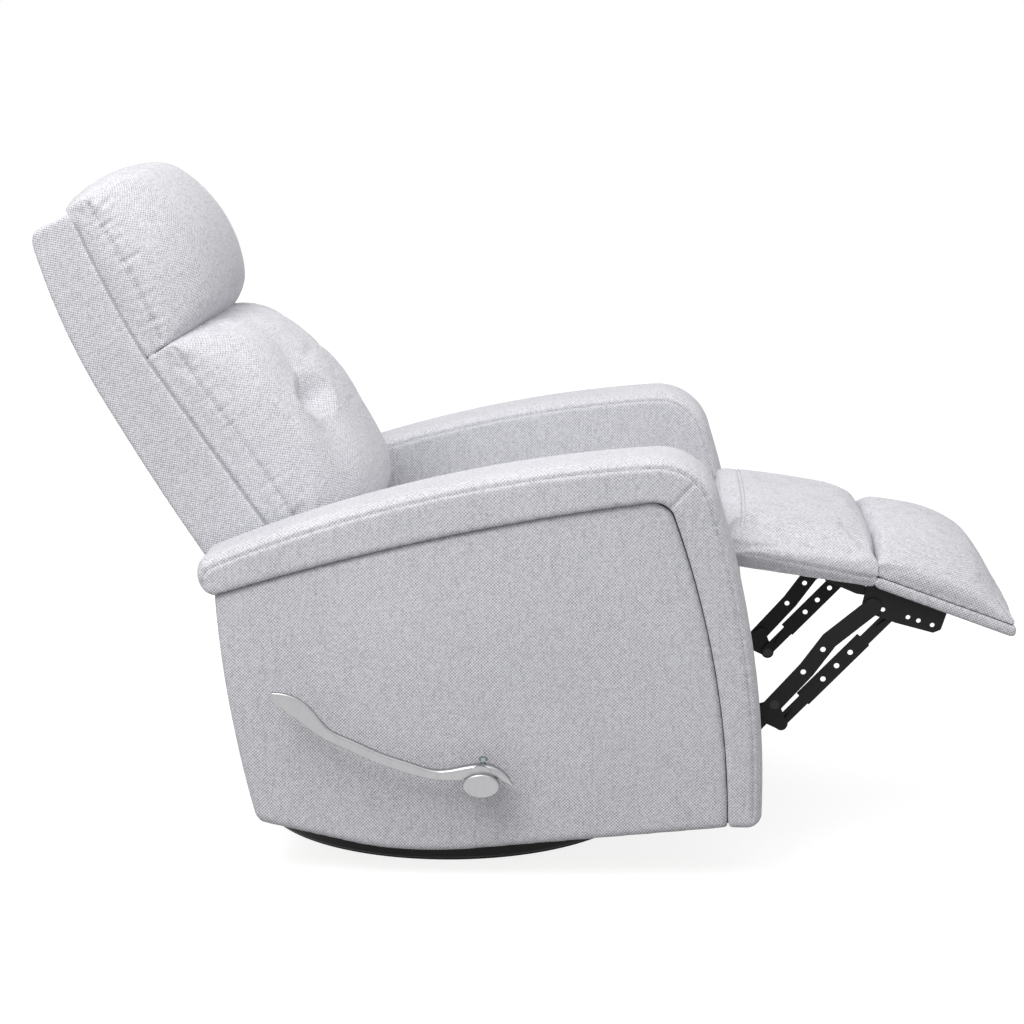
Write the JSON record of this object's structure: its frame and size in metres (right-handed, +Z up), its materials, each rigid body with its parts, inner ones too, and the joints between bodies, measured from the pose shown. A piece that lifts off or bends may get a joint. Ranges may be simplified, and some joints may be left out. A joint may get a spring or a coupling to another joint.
{
  "type": "swivel recliner",
  "caption": "Upholstered swivel recliner with a side lever, tufted reclining back, padded arms and a linkage footrest, on a round floor ring.",
  "frame": {"origin": "where the swivel axis meets the floor, at the centre of the floor ring", "axes": "+X forward from the seat to the footrest, +Y to the sitter's left, +Z up along the swivel axis"},
  "size_m": [1.421, 0.812, 0.9942],
  "materials": {
    "upholstery": "heathered woven tweed",
    "frame_wood": "plain plywood",
    "strap": "woven strap",
    "black_steel": "satin black",
    "dark_rivet": "dark plated",
    "satin_metal": "satin nickel",
    "floor_felt": "matte",
    "race_plastic": "natural"
  },
  "bodies": {
    "base": {"floor_pad_ring": "floor_felt", "base_ring": "black_steel", "base_spider": "black_steel", "swivel_lower_plate": "black_steel", "swivel_race": "race_plastic", "swivel_pin": "dark_rivet"},
    "chair": {"swivel_upper_plate": "black_steel", "cross_rail_front": "frame_wood", "cross_rail_rear": "frame_wood", "arm_core_left": "frame_wood", "arm_core_right": "frame_wood", "arm_wrap_left": "upholstery", "arm_wrap_right": "upholstery", "side_panel_left": "upholstery", "side_panel_right": "upholstery", "inner_panel_left": "upholstery", "inner_panel_right": "upholstery", "rear_panel": "upholstery", "back_pivot_bolts": "dark_rivet", "mech_base_plate_left": "black_steel", "mech_base_plate_right": "black_steel"},
    "seat": {"seat_plate_left": "black_steel", "seat_plate_right": "black_steel", "seat_rail_front": "frame_wood", "seat_rail_rear": "frame_wood", "seat_webbing": "strap", "seat_cushion": "upholstery", "seat_guide_pins": "dark_rivet", "seat_pivot_pins": "dark_rivet"},
    "back": {"back_side_left": "upholstery", "back_side_right": "upholstery", "back_rear_panel": "upholstery", "back_rails": "frame_wood", "back_webbing": "strap", "back_cushion": "upholstery", "headrest": "upholstery", "back_ear_left": "black_steel", "back_ear_right": "black_steel"},
    "front_links": {"front_link_left": "black_steel", "front_link_right": "black_steel", "elbow_rivets": "dark_rivet"},
    "rear_links": {"rear_link_left": "black_steel", "rear_link_right": "black_steel"},
    "upper_links": {"upper_link_left": "black_steel", "upper_link_right": "black_steel"},
    "lower_links": {"lower_link_left": "black_steel", "lower_link_right": "black_steel"},
    "footrest": {"footrest_bracket_left": "black_steel", "footrest_bracket_right": "black_steel", "footrest_rivets": "dark_rivet", "footrest_board": "upholstery", "footrest_pad": "upholstery"},
    "middle_pad": {"mid_board": "upholstery", "mid_pad": "upholstery", "mid_hinges": "black_steel"},
    "lever": {"drive_tube": "black_steel", "lever_handle": "satin_metal", "lever_cap": "satin_metal", "lever_screw": "dark_rivet"},
    "drive": {"drive_links": "black_steel"}
  },
  "joints": [
    {"name": "swivel", "type": "hinge", "parent": "base", "child": "chair", "pos_m": [0, 0, 0], "axis": [0, 0, 1], "continuous": true},
    {"name": "back_recline", "type": "hinge", "parent": "chair", "child": "back", "pos_m": [-0.262, 0, 0.415], "axis": [0, 1, 0], "range_deg": [0, 20]},
    {"name": "seat_slide", "type": "slide", "parent": "chair", "child": "seat", "axis": [-0.9661, 0, -0.2582], "range_m": [0, 0.0539]},
    {"name": "footrest_fold", "type": "hinge", "parent": "seat", "child": "front_links", "pos_m": [0.3484, 0, 0.3355], "axis": [0, 1, 0], "range_deg": [0, 105.58]},
    {"name": "rear_link_swing", "type": "hinge", "parent": "seat", "child": "rear_links", "pos_m": [0.3236, 0, 0.3267], "axis": [0, 1, 0], "range_deg": [0, 102.97]},
    {"name": "upper_link_swing", "type": "hinge", "parent": "front_links", "child": "upper_links", "pos_m": [0.4907, 0, 0.2234], "axis": [0, 1, 0], "range_deg": [-70.71, 0]},
    {"name": "lower_link_swing", "type": "hinge", "parent": "front_links", "child": "lower_links", "pos_m": [0.501, 0, 0.192], "axis": [0, 1, 0], "range_deg": [-61.55, 0]},
    {"name": "footrest_tilt", "type": "hinge", "parent": "lower_links", "child": "footrest", "pos_m": [0.662, 0, 0.362], "axis": [0, 1, 0], "range_deg": [0, 26.37]},
    {"name": "middle_pad_tilt", "type": "hinge", "parent": "footrest", "child": "middle_pad", "pos_m": [0.62665, 0, 0.39458], "axis": [0, 1, 0], "range_deg": [0, 11.72]},
    {"name": "lever_turn", "type": "hinge", "parent": "chair", "child": "lever", "pos_m": [0.077, 0, 0.156], "axis": [0, 1, 0], "range_deg": [0, 120.49]},
    {"name": "drive_link_swing", "type": "hinge", "parent": "lever", "child": "drive", "pos_m": [0.11054, 0, 0.13072], "axis": [0, 1, 0], "range_deg": [-120.14, 0]}
  ],
  "couplings": [
    {"joint": "rear_link_swing", "follows": "footrest_fold", "ratio": 0.97509},
    {"joint": "upper_link_swing", "follows": "footrest_fold", "ratio": -0.66958},
    {"joint": "lower_link_swing", "follows": "footrest_fold", "ratio": -0.58275},
    {"joint": "footrest_tilt", "follows": "footrest_fold", "ratio": 0.24955},
    {"joint": "middle_pad_tilt", "follows": "footrest_fold", "ratio": 0.11082},
    {"joint": "lever_turn", "follows": "footrest_fold", "ratio": 1.141},
    {"joint": "drive_link_swing", "follows": "footrest_fold", "ratio": -1.1377},
    {"joint": "seat_slide", "follows": "back_recline", "m_per_rad": 0.1542}
  ]
}
